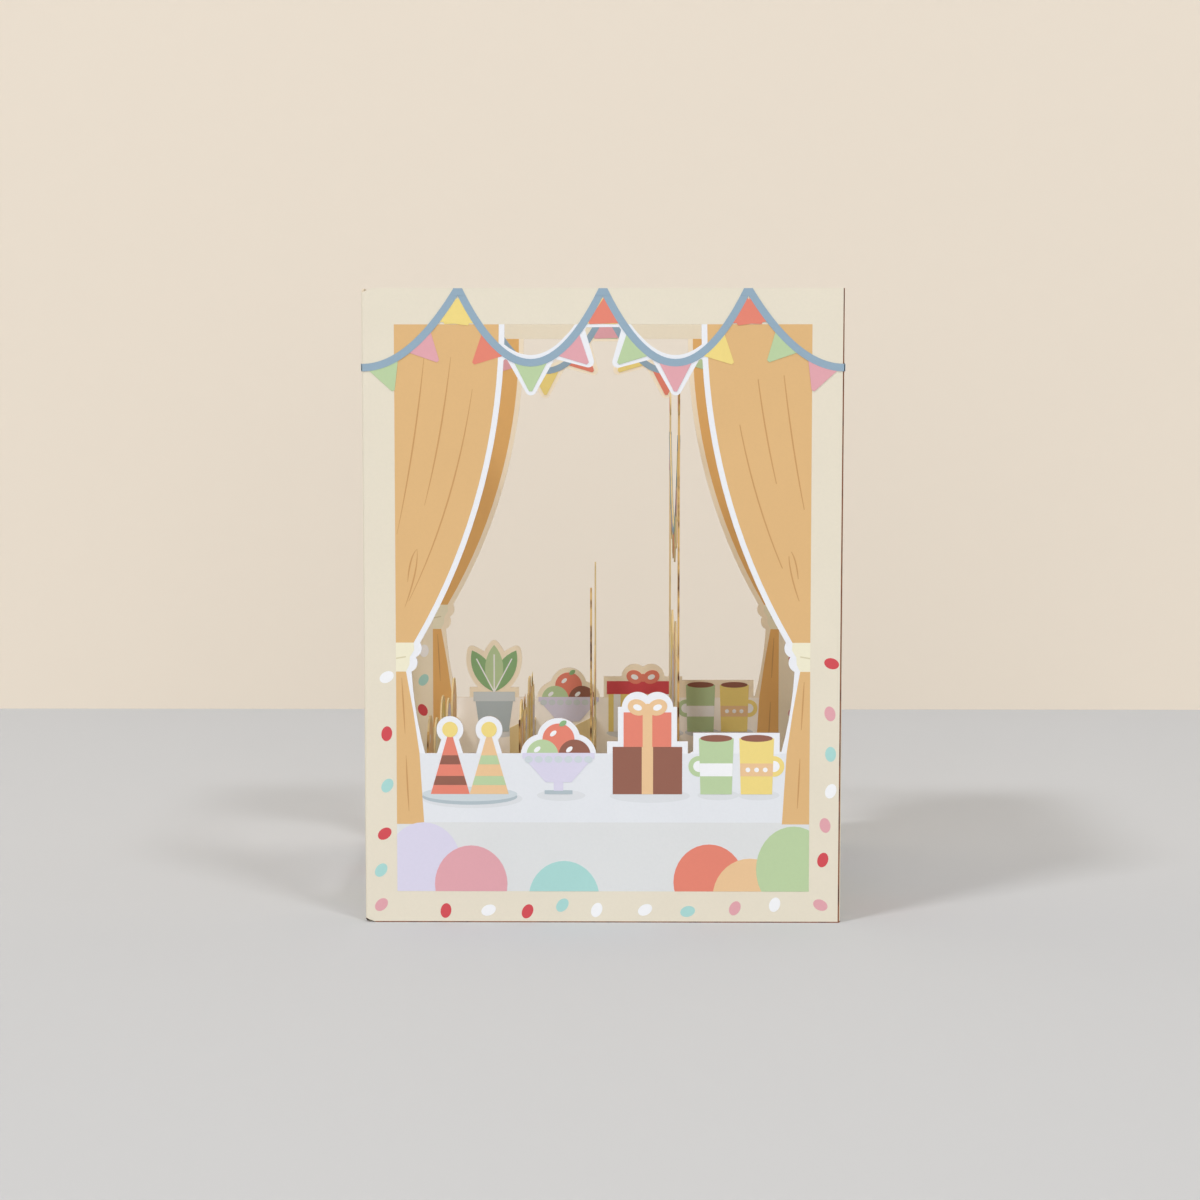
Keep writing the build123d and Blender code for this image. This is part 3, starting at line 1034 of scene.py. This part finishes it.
# %% Bunting tree
def bunting_group():
    """Ribbon along hanging lines, with flags square to it in four inks."""
    tree, given, result = geometry_tree("bunting", {
        "Ribbon Width": "Float", "Ribbon Depth": "Float", "Flag Width": "Float", "Flag Drop": "Float",
        "Flag Tip": "Float", "Flag Depth": "Float", "Flags": "Int", "First Ink": "Int", "Step": "Float",
        "Ribbon Ink": "Color", **four_inks, "Print": "Material",
    })
    rope = geo(tree, "MeshToCurve", {"Mesh": given["Geometry"]})
    ribbon = swept(tree, rope, given["Ribbon Width"], given["Ribbon Depth"])
    ribbon_inked = inked(tree, ribbon, given["Ribbon Ink"], "POINT")

    outline = geo(tree, "CurvePrimitiveQuadrilateral", {
        "Height": given["Flag Drop"], "Bottom Width": given["Flag Tip"], "Top Width": given["Flag Width"],
        "Offset": 0.0}, mode="TRAPEZOID")
    face = geo(tree, "FillCurve", {"Curve": outline}, mode="NGONS")
    hang = vector(tree, Y=maths(tree, "MULTIPLY", given["Flag Drop"], -0.5))
    cloth = slab(tree, face, given["Flag Depth"])
    flag = geo(tree, "Transform", {"Geometry": cloth, "Translation": hang})

    half_seat = maths(tree, "DIVIDE", 0.5, given["Flags"])
    span = geo(tree, "TrimCurve", {
        "Curve": rope, 2: half_seat, 3: maths(tree, "SUBTRACT", 1.0, half_seat)}, mode="FACTOR")
    seat = add(tree, "GeometryNodeCurveToPoints", {"Curve": span, "Count": given["Flags"]}, mode="COUNT")
    climb = maths(tree, "MULTIPLY", geo(tree, "InputIndex"), given["Step"])
    lift = vector(tree, Z=maths(tree, "SUBTRACT", climb, given["Flag Depth"]))
    raised = geo(tree, "SetPosition", {"Geometry": seat.outputs["Points"], "Offset": lift})
    along = add(tree, "FunctionNodeAlignRotationToVector", {
        "Vector": seat.outputs["Tangent"]}, axis="X", pivot_axis="Z").outputs[0]
    flags = scattered(tree, given, given["First Ink"], raised, flag, along)
    printed(tree, joined(tree, ribbon_inked, flags), given["Print"], result)
    return tree


bunting = bunting_group()
print("bunting tree of", len(bunting.nodes), "nodes")

# %% Swags across a wall
ribbon_width = 1.7
swag_span = 33.0
swag_drop = 16.5
flag_width = 7.4
flag_drop = 6.5
flag_tip = 0.7
flags_per_swag = 5
side_drop = 17.6
side_flags = 3
flag_inks = ["yellow", "coral", "green", "pink"]
peak_inset = 0.2
peak_drop = 0.4
fold_inset = 0.15
ribbon_depth = 0.1
flag_depth = 0.06
flag_step = 0.004
swag_lift = 0.075
side_swag_lift = 0.11


def hanging(left, right, height, drop, low, steps=28):
    """Points of a hanging line whose lowest point is at low; its ends are at left and right."""
    reach = max(abs(left - low), abs(right - low))
    places = [left + (right - left) * step / steps for step in range(steps + 1)]
    return [(u, height - drop + drop * ((u - low) / reach) ** 2) for u in places]


def ropes_and_edges(lines, lift, step):
    """Points and edges of several lines, the first at a height over the card and each a step higher."""
    points = []
    edges = []
    for number, line in enumerate(lines):
        start = len(points)
        points += [(u, v, lift + number * step) for u, v in line]
        edges += [(start + index, start + index + 1) for index in range(len(line) - 1)]
    return points, edges


def ink_values(names):
    """Values of a group's numbered ink inputs."""
    return {label: inks[name] for label, name in zip(four_inks, names)}


def grow_bunting(lines, flags, first, lift):
    """Bunting along hanging lines, with a number of flags on each."""
    points, edges = ropes_and_edges(lines, lift, ink_step)
    return grow(bunting, points, edges, [], {
        "Ribbon Width": ribbon_width, "Ribbon Depth": ribbon_depth, "Flag Width": flag_width,
        "Flag Drop": flag_drop, "Flag Tip": flag_tip, "Flag Depth": flag_depth, "Flags": flags,
        "First Ink": first, "Step": flag_step, "Ribbon Ink": inks["ribbon"], **ink_values(flag_inks),
        "Print": ink_print,
    })


def wall_swags():
    """Two whole swags between three peaks, and the half swags that run on round the folds."""
    whole = []
    for left in (-swag_span, 0.0):
        middle = left + swag_span / 2
        ends = (left + peak_inset, left + swag_span - peak_inset)
        whole.append(hanging(*ends, card_height - peak_drop, swag_drop, middle))
    fold = half_wall - fold_inset
    right_side = hanging(swag_span + peak_inset, fold, card_height - peak_drop, side_drop, fold)
    left_side = [(-u, v) for u, v in right_side][::-1]
    return whole, [left_side, right_side]


whole_swags, side_swags = wall_swags()
trial_mesh = grow_bunting(whole_swags, flags_per_swag, 0, swag_lift)
print("whole swags:", len(trial_mesh.vertices), "points,", len(trial_mesh.polygons), "faces")

# %% [markdown]
# ## Confetti with Geometry Nodes
#
# Small oval dots are strewn over the cream border. The tree strews points over the border's strips
# with a least distance between them, so no two dots touch, and turns each dot by a random angle.
# The seed is an input: it is fixed, and each wall has its own.

# %% Confetti tree
dot_width = 2.5
dot_length = 3.5
dot_depth = 0.03
dot_points = 18
dot_turn = 1.3
most_dots = 5.0


def confetti_group():
    """Oval dots strewn over flat strips, in four inks."""
    tree, given, result = geometry_tree("confetti", {
        "Dot Width": "Float", "Dot Length": "Float", "Dot Depth": "Float", "Spacing": "Float",
        "Density": "Float", "Seed": "Int", **four_inks, "Print": "Material",
    })
    strewn = geo(tree, "DistributePointsOnFaces", {
        "Mesh": given["Geometry"], "Distance Min": given["Spacing"], "Density Max": given["Density"],
        "Seed": given["Seed"]}, distribute_method="POISSON")
    ring = geo(tree, "MeshCircle", {"Vertices": dot_points, "Radius": 0.5}, fill_type="NGON")
    shape = vector(tree, X=given["Dot Width"], Y=given["Dot Length"], Z=1.0)
    disc = geo(tree, "Transform", {"Geometry": ring, "Scale": shape})
    limits = {2: -dot_turn, 3: dot_turn, "Seed": given["Seed"]}
    chance = add(tree, "FunctionNodeRandomValue", limits, data_type="FLOAT").outputs[1]
    dot = slab(tree, disc, given["Dot Depth"])
    dots = scattered(tree, given, given["Seed"], strewn, dot, vector(tree, Z=chance))
    printed(tree, dots, given["Print"], result)
    return tree


confetti = confetti_group()


def strips(rectangles):
    """Points and faces of flat strips, each given by its low and high corner, just inside the card."""
    points = []
    faces = []
    for low_u, low_v, high_u, high_v in rectangles:
        start = len(points)
        points += [(low_u, low_v), (high_u, low_v), (high_u, high_v), (low_u, high_v)]
        faces.append([start, start + 1, start + 2, start + 3])
    return [(u, v, -ink_sunk) for u, v in points], faces


def grow_confetti(rectangles, spacing, seed, colours):
    """Confetti over strips of the card."""
    points, faces = strips(rectangles)
    return grow(confetti, points, [], faces, {
        "Dot Width": dot_width, "Dot Length": dot_length, "Dot Depth": dot_depth, "Spacing": spacing,
        "Density": most_dots, "Seed": seed, **ink_values(colours), "Print": ink_print,
    })


frame_gap = 0.2
edge_gap = 0.6
confetti_foot = 3.0
confetti_top = 64.0
foot_row_low = 2.5
foot_row_high = frame_foot - 2.4
inner = frame_side + 0.5 * dot_length + frame_gap
outer = half_wall - 0.5 * dot_length - edge_gap
border_strips = [
    (inner, confetti_foot, outer, confetti_top),
    (-outer, confetti_foot, -inner, confetti_top),
    (-inner, foot_row_low, inner, foot_row_high),
]
border_inks = ["red", "teal", "pink", "white"]
border_spacing = 8.0
border_seed = 3
trial_mesh = grow_confetti(border_strips, border_spacing, border_seed, border_inks)
print("confetti:", len(trial_mesh.vertices) // (2 * dot_points), "dots on a border")

# %% [markdown]
# ## Fold lines with Geometry Nodes
#
# The curtains' folds are drawn as fine brown lines that thin out at both ends. Each line is a short
# curve, so the tree sweeps a flat bar along it and lets the bar swell from the ends to the middle.

# %% Fold line tree
fold_line_width = 0.34
fold_line_depth = 0.04
fold_line_lift = 0.01
fold_line_step = 0.001
end_width = 0.25
middle_swell = 3.0


def fold_line_group():
    """Fine lines that swell towards their middle."""
    tree, given, result = geometry_tree("fold lines", {
        "Line Width": "Float", "Line Depth": "Float", "Ink 1": "Color", "Print": "Material"})
    line = geo(tree, "MeshToCurve", {"Mesh": given["Geometry"]})
    share = add(tree, "GeometryNodeSplineParameter").outputs["Factor"]
    bulge = maths(tree, "MULTIPLY", share, maths(tree, "SUBTRACT", 1.0, share))
    swell = maths(tree, "ADD", maths(tree, "MULTIPLY", bulge, middle_swell), end_width)
    drawn = swept(tree, line, given["Line Width"], given["Line Depth"], Scale=swell)
    printed(tree, inked(tree, drawn, given["Ink 1"], "POINT"), given["Print"], result)
    return tree


fold_lines = fold_line_group()
curtain_folds = [
    [(29.5, 125.0), (33.6, 96.0), (45.4, 73.0)],
    [(34.6, 131.0), (36.8, 112.0), (41.0, 96.0)],
    [(40.6, 132.0), (42.8, 110.0), (47.2, 90.0)],
    [(45.5, 73.2), (42.2, 82.0), (42.6, 86.6)],
    [(42.6, 86.6), (44.3, 85.0), (44.8, 79.0)],
    [(46.3, 57.0), (45.9, 50.0), (45.6, 44.0)],
    [(45.4, 39.0), (45.2, 33.0), (44.8, 26.0)],
]


def bend(start, pull, end, steps=14):
    """Points of a curve from start to end, pulled towards a third point."""
    points = []
    for step in range(steps + 1):
        share = step / steps
        weights = ((1 - share) ** 2, 2 * share * (1 - share), share ** 2)
        axes = zip(start, pull, end)
        points.append(tuple(sum(w * value for w, value in zip(weights, axis)) for axis in axes))
    return points


def grow_folds():
    """Fold lines of both curtains of a wall."""
    right_side = [bend(*line) for line in curtain_folds]
    left_side = [[(-u, v) for u, v in line] for line in right_side]
    points, edges = ropes_and_edges(right_side + left_side, fold_line_lift, fold_line_step)
    return grow(fold_lines, points, edges, [], {
        "Line Width": fold_line_width, "Line Depth": fold_line_depth, "Ink 1": inks["fold"],
        "Print": ink_print})


trial_mesh = grow_folds()
print("fold lines:", 2 * len(curtain_folds), "lines,", len(trial_mesh.polygons), "faces")

# %% [markdown]
# ## Printing the eight wall faces
#
# Every wall carries its picture on both sides. Seen from inside, the row of things runs the other
# way, because the die-cut shapes are shared. The right wall isn't cut: the bare white between its
# curtains is where a greeting can be written. Colours, confetti and bunting start at another step
# on each wall, so the walls are alike without being copies.

# %% Walls
wall_rows = {
    "front": [draw_hats, draw_fruit_heap, draw_gift_stack, draw_mugs],
    "left": [],
    "back": [draw_mugs, draw_ribbon_drum, draw_fruit_heap, draw_leafy_pot],
    "right": [draw_gift_stack, draw_leafy_pot, draw_mugs, draw_hats],
}
wall_feet = {"front": table_height, "left": sill_height, "back": table_height, "right": table_height}
thing_hues = {
    draw_hats: [["coral", "brown", "peach", "green"], ["pink", "white", "teal", "coral"]],
    draw_fruit_heap: [["coral", "green", "brown"], ["peach", "brown", "green"]],
    draw_gift_stack: [["brown", "coral", "peach"], ["pink", "teal", "red"]],
    draw_mugs: [["white", "green", "peach", "yellow"], ["coral", "peach", "white", "green"]],
    draw_leafy_pot: [["plate_side", "plate"], ["coral", "peach"]],
    draw_ribbon_drum: [["yellow", "red", "coral"], ["lilac", "pink", "coral"]],
}


peak_width = 3.4
peak_top_width = 1.9
peak_height = 1.65
peak_level = 15


def draw_peaks(sheet):
    """Ribbon where two swags meet at the card's top edge."""
    for u in (-swag_span, 0.0, swag_span):
        peak = block(u, card_height - ribbon_width, peak_width, peak_height, peak_top_width)
        sheet.put("ribbon", peak, peak_level)


def draw_wall(row, foot, turn, inside):
    """Sheet of one wall's picture, apart from its bunting, confetti and fold lines."""
    sheet = Sheet()
    # Inside faces use the painted-light inks, warmer and lighter copies that stand in for light inside the
    # box.
    draw_cloth(sheet, foot, "cloth_inside_painted_light" if inside else "cloth")
    draw_curtains(sheet, foot, "curtain_inside_painted_light" if inside else "curtain")
    draw_foot_balloons(sheet, turn)
    table_length = card_width - 2 * curtain_reach_table
    for u, thing in zip(seats(len(row), table_length), row):
        thing(sheet, u, thing_hues[thing][turn % 2])
    draw_peaks(sheet)
    return sheet


def print_wall(wall, inside, turn):
    """Lay a wall's whole print on one of its sides."""
    side = f"{wall}_{'inside' if inside else 'outside'}"
    matrix = wall_matrix(wall, inside)
    row = wall_rows[wall][::-1] if inside else wall_rows[wall]
    sheet = draw_wall(row, wall_feet[wall], turn, inside)
    pieces = {
        "picture": sheet.mesh(side),
        "swags": grow_bunting(whole_swags, flags_per_swag, turn, swag_lift),
        "side_swags": grow_bunting(side_swags, side_flags, turn + 2, side_swag_lift),
        "confetti": grow_confetti(border_strips, border_spacing, border_seed + turn, border_inks),
        "folds": grow_folds(),
    }
    for label, mesh in pieces.items():
        lay(f"{side}_{label}", mesh, matrix)
    return sheet.shapes


for turn, wall in enumerate(wall_rows):
    shapes = [print_wall(wall, inside, turn + len(wall_rows) * inside) for inside in (False, True)]
    print(wall, "wall printed with", shapes, "shapes outside and inside")

# %% [markdown]
# ## Printing the panels
#
# The picture panels stand edge-on to the front, and are printed on both faces. Their drawings follow
# their die lines: a row of balloons, wrapped parcels, two clumps of flowers, and a garland strung
# between posts over more balloons.

# %% Pictures of the low panels
panel_base = 34.0
panel_band_foot = 3.0
panel_band_height = panel_base - 5.0
panel_ink_step = 0.004
wall_clearance = 3.6
picture_length = card_depth - 2 * card_thickness - 2 * wall_clearance
balloon_inks = ["peach", "tie", "yellow", "lilac", "peach", "tie"]
balloons = 5
balloon_radius = 6.6
balloon_lift = 38.5
balloon_step = 3.0
parcels = 4
parcel_sizes = ((18.0, 15.0), (12.0, 10.0))
parcel_ribbon = 2.4


def draw_base(sheet):
    """Plain band along a panel's foot."""
    sheet.put("panel_band", block(0, panel_band_foot, picture_length, panel_band_height), 1)


def draw_balloon(sheet, u, v, radius, ink, level):
    """Round balloon with a soft highlight."""
    sheet.put(ink, oval(u, v, radius, radius), level)
    shine = oval(u - 0.38 * radius, v + 0.42 * radius, 0.2 * radius, 0.1 * radius, -45, 18)
    sheet.put("white", shine, level + 1)


def draw_balloon_row(sheet):
    """Row of balloons, alternate ones lower."""
    for index, u in enumerate(seats(balloons, picture_length)):
        lift = balloon_lift - balloon_step * (index % 2)
        draw_balloon(sheet, u, lift, balloon_radius, balloon_inks[index], 3)


def draw_parcels(sheet):
    """Row of wrapped parcels, alternate ones wide and narrow."""
    for index, u in enumerate(seats(parcels, picture_length)):
        width, height = parcel_sizes[index % 2]
        sheet.put(balloon_inks[index], block(u, table_stand, width, height), 5)
        sheet.put("white", block(u, table_stand, parcel_ribbon, height), 6)
        draw_bow(sheet, u, table_stand + height, balloon_inks[index + 2])


print("panel pictures may be", round(picture_length, 1), "mm long")

# %% Pictures of the tall panels
spear_width = 4.4
spear_top = 76.0
bloom_width = 7.0
bloom_height = 8.5
bloom_lift = 54.0
stem_width = 1.2
post_width = 1.6
post_top = 120.0
post_ball_radius = 2.2
crowd_inset = 4.25
crowd_gap = 0.15
crowd_lift = 50.0
crowd_step = 7.0
string_width = 0.6
post_place = picture_length / 2 - post_ball_radius - cut_margin


def draw_flowers(sheet):
    """Two clumps of flowers, each with a tall leaf at its outer end."""
    for side in (-1, 1):
        end = side * (picture_length / 2 - cut_margin)
        tip = (end - side * spear_width / 4, spear_top)
        sheet.put("leaf", [(end, panel_base), (end - side * spear_width, panel_base), tip], 3)
        for index, ink in ((1, "coral"), (2, "pink")):
            u = end - side * index * (bloom_width + 2 * cut_margin)
            lift = bloom_lift - (index + 1) * bloom_height / 2
            sheet.put("green", block(u, panel_base, stem_width, lift - panel_base), 3)
            sheet.put(ink, leaf(u, lift, bloom_width, bloom_height), 4)


def draw_garland_crowd(sheet):
    """Two posts with balls, and a crowd of balloons on strings between them."""
    for u in (-post_place, post_place):
        sheet.put("peach", block(u, panel_base, post_width, post_top - panel_base), 3)
        sheet.put("coral", oval(u, post_top, post_ball_radius, post_ball_radius, count=28), 4)
    length = 2 * (post_place - crowd_inset)
    radius = length / (2 * balloons) - crowd_gap
    for index, u in enumerate(seats(balloons, length)):
        lift = crowd_lift + crowd_step * (index % 2)
        sheet.put("ribbon", block(u, panel_base, string_width, lift - panel_base), 2)
        draw_balloon(sheet, u, lift, radius, balloon_inks[index + 1], 3 + 2 * (index % 2))


print("garland posts stand", round(2 * post_place, 1), "mm apart")

# %% Panels
panel_pictures = [draw_balloon_row, draw_parcels, draw_flowers, draw_garland_crowd]
foot_strip = [(-48.0, 6.0, 48.0, 26.0)]
garland_tie = 112.0
garland_drop = 24.0
garland_flags = 8
garland = [hanging(-post_place, post_place, garland_tie, garland_drop, 0.0, 40)]
strip_spacing = 9.0
strip_inks = ["peach", "tie", "yellow", "white"]
first_panel_seed = 20


def print_panel(name, picture, side, seed):
    """Lay a panel's picture on one of its faces."""
    low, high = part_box(name)
    face = (low.x + high.x) / 2 / mm + side * card_thickness / 2
    matrix = placement((side, 0, 0), (face, 0, 0))
    sheet = Sheet(panel_ink_step)
    draw_base(sheet)
    picture(sheet)
    label = f"{name}_{'right' if side > 0 else 'left'}"
    pieces = {
        "picture": sheet.mesh(label),
        "confetti": grow_confetti(foot_strip, strip_spacing, seed, strip_inks),
    }
    if picture is draw_garland_crowd:
        pieces["garland"] = grow_bunting(garland, garland_flags, seed, swag_lift)
    for part, mesh in pieces.items():
        lay(f"{label}_{part}", mesh, matrix)
    return sheet.shapes


for number, (name, picture) in enumerate(zip(panel_names, panel_pictures)):
    seed = first_panel_seed + 2 * number
    shapes = [print_panel(name, picture, side, seed + side) for side in (-1, 1)]
    print(name, "printed with", shapes, "shapes on its two faces")

# %% [markdown]
# ## Floor, light and camera
#
# The card stands on a pale grey table in front of a warm pale wall, which is clear from behind so
# that the card's back can be looked at. A lamp from the upper left throws the main shadow to the
# right and back, a weaker one from the upper right throws a faint shadow to the left, and a broad
# one from the front and the world's even light open the inside of the box.

# %% Floor and backdrop
floor_colour = linear(203, 205, 208)
wall_colour = linear(232, 221, 206)
backdrop_distance = 0.348
stage_roughness = 0.9
stage_specular = 0.1


def stage_plane(name, colour, corners):
    """A plain matt plane of the studio."""
    mesh = bpy.data.meshes.new(name)
    mesh.from_pydata(corners, [], [(0, 1, 2, 3)])
    material = new_material(name)
    shader = material.node_tree.nodes["Principled BSDF"]
    shader.inputs["Base Color"].default_value = colour
    shader.inputs["Roughness"].default_value = stage_roughness
    shader.inputs["Specular IOR Level"].default_value = stage_specular
    mesh.materials.append(material)
    plane = bpy.data.objects.new(name, mesh)
    bpy.context.scene.collection.objects.link(plane)
    return plane


def clear_from_behind(plane):
    """Let a stage plane be seen from its front only, so it never hides the card."""
    tree = plane.data.materials[0].node_tree
    behind = add(tree, "ShaderNodeNewGeometry").outputs["Backfacing"]
    clear = add(tree, "ShaderNodeBsdfTransparent").outputs[0]
    shader = tree.nodes["Principled BSDF"].outputs[0]
    one_sided = add(tree, "ShaderNodeMixShader", {0: behind, 1: shader, 2: clear})
    tree.links.new(one_sided.outputs[0], tree.nodes["Material Output"].inputs["Surface"])


reach = 3.0
back = backdrop_distance
stage_plane("floor", floor_colour, [
    (-reach, -reach, 0), (reach, -reach, 0), (reach, reach, 0), (-reach, reach, 0)])
backdrop = stage_plane("backdrop", wall_colour, [
    (-reach, back, 0), (reach, back, 0), (reach, back, reach), (-reach, back, reach)])
clear_from_behind(backdrop)
print("backdrop stands", back, "m behind the card's middle")

# %% Lamps and world
lamp_target = Vector((0, 0, 0.06))
lamps = {
    "key": ((-2.22, -2.22, 4.1), 0.8, 79.0),
    "fill": ((1.73, -2.51, 4.13), 0.8, 47.0),
    "front": ((0.0, -4.3, 1.1), 3.8, 86.0),
}
world_colour = (1.0, 0.995, 0.985, 1.0)
world_strength = 0.39


def soft_lamp(name, place, size, watts):
    """A square area lamp that looks at the card."""
    data = bpy.data.lights.new(name, "AREA")
    data.size = size
    data.energy = watts
    lamp = bpy.data.objects.new(name, data)
    lamp.location = place
    lamp.rotation_euler = (lamp_target - Vector(place)).to_track_quat("-Z", "Y").to_euler()
    bpy.context.scene.collection.objects.link(lamp)


for name, (place, size, watts) in lamps.items():
    soft_lamp(name, place, size, watts)
world = bpy.data.worlds.new("studio air")
world.use_nodes = True
world.node_tree.nodes["Background"].inputs["Color"].default_value = world_colour
world.node_tree.nodes["Background"].inputs["Strength"].default_value = world_strength
bpy.context.scene.world = world
bpy.context.scene.view_settings.view_transform = "Standard"
print(len(lamps), "soft lamps and an even world")

# %% Camera
camera_place = (0.0039, -0.6074, 0.1179)
camera_pitch = 4.447
camera_yaw = 0.475
camera_lens = 72.48
camera_data = bpy.data.cameras.new("camera")
camera_data.lens = camera_lens
camera_data.sensor_width = 36.0
camera_data.clip_start = 0.01
camera = bpy.data.objects.new("camera", camera_data)
camera.location = camera_place
camera.rotation_euler = (radians(90 - camera_pitch), 0.0, radians(camera_yaw))
bpy.context.scene.collection.objects.link(camera)
bpy.context.scene.camera = camera
print("camera", round(-camera_place[1] * 1000), "mm in front of the card's middle")
